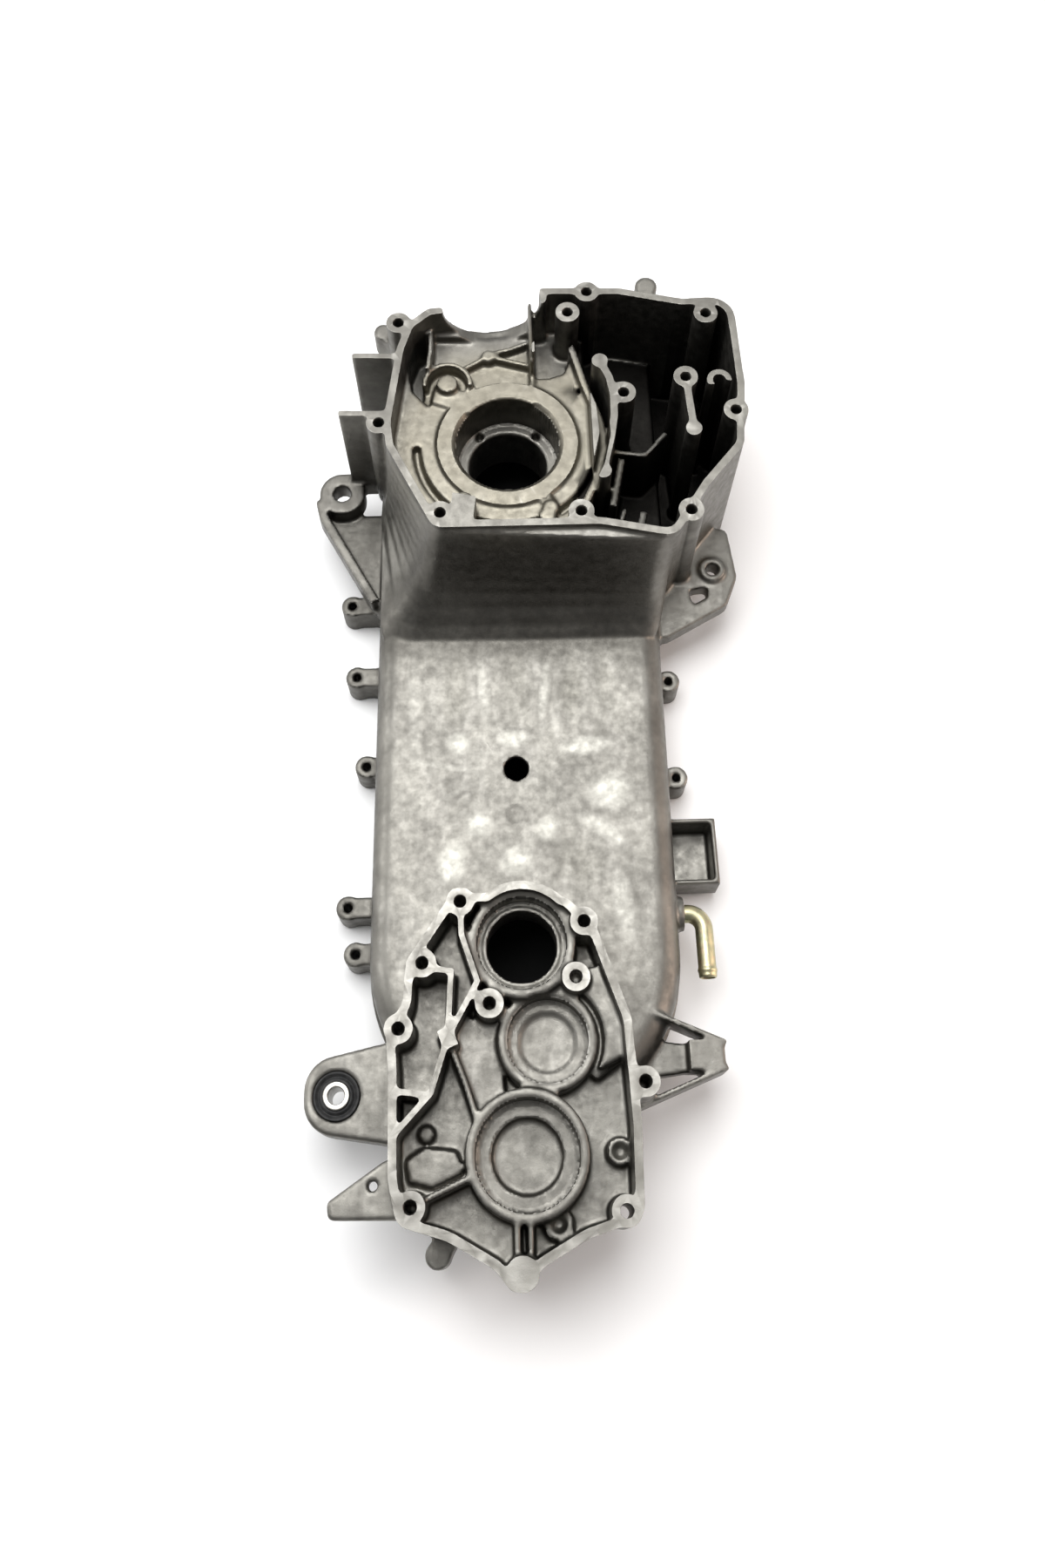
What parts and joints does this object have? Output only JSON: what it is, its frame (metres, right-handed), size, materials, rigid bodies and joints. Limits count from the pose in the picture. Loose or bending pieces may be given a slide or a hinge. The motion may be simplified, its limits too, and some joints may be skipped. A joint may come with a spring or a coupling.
{
  "type": "engine crankcase",
  "caption": "Left crankcase half for a belt-drive scooter engine: belt case, crank chamber, oil sump and rear gearbox in one aluminium casting.",
  "frame": {"origin": "crankshaft axis at the middle of the main bearing seat", "axes": "+Z out of the joint faces along the shafts, -Y from the crankshaft to the clutch shaft, +X towards the oil sump"},
  "size_m": [0.2664, 0.5638, 0.125],
  "materials": {
    "cast_aluminium": "die-cast, bare, with milled joint faces",
    "bush_rubber": "moulded, matt",
    "sleeve_steel": "turned",
    "zinc_elbow": "yellow zinc plate"
  },
  "bodies": {
    "root": {"crankcase": "cast_aluminium", "bush_rubber": "bush_rubber", "bush_sleeve": "sleeve_steel", "breather_elbow": "zinc_elbow"}
  },
  "joints": []
}
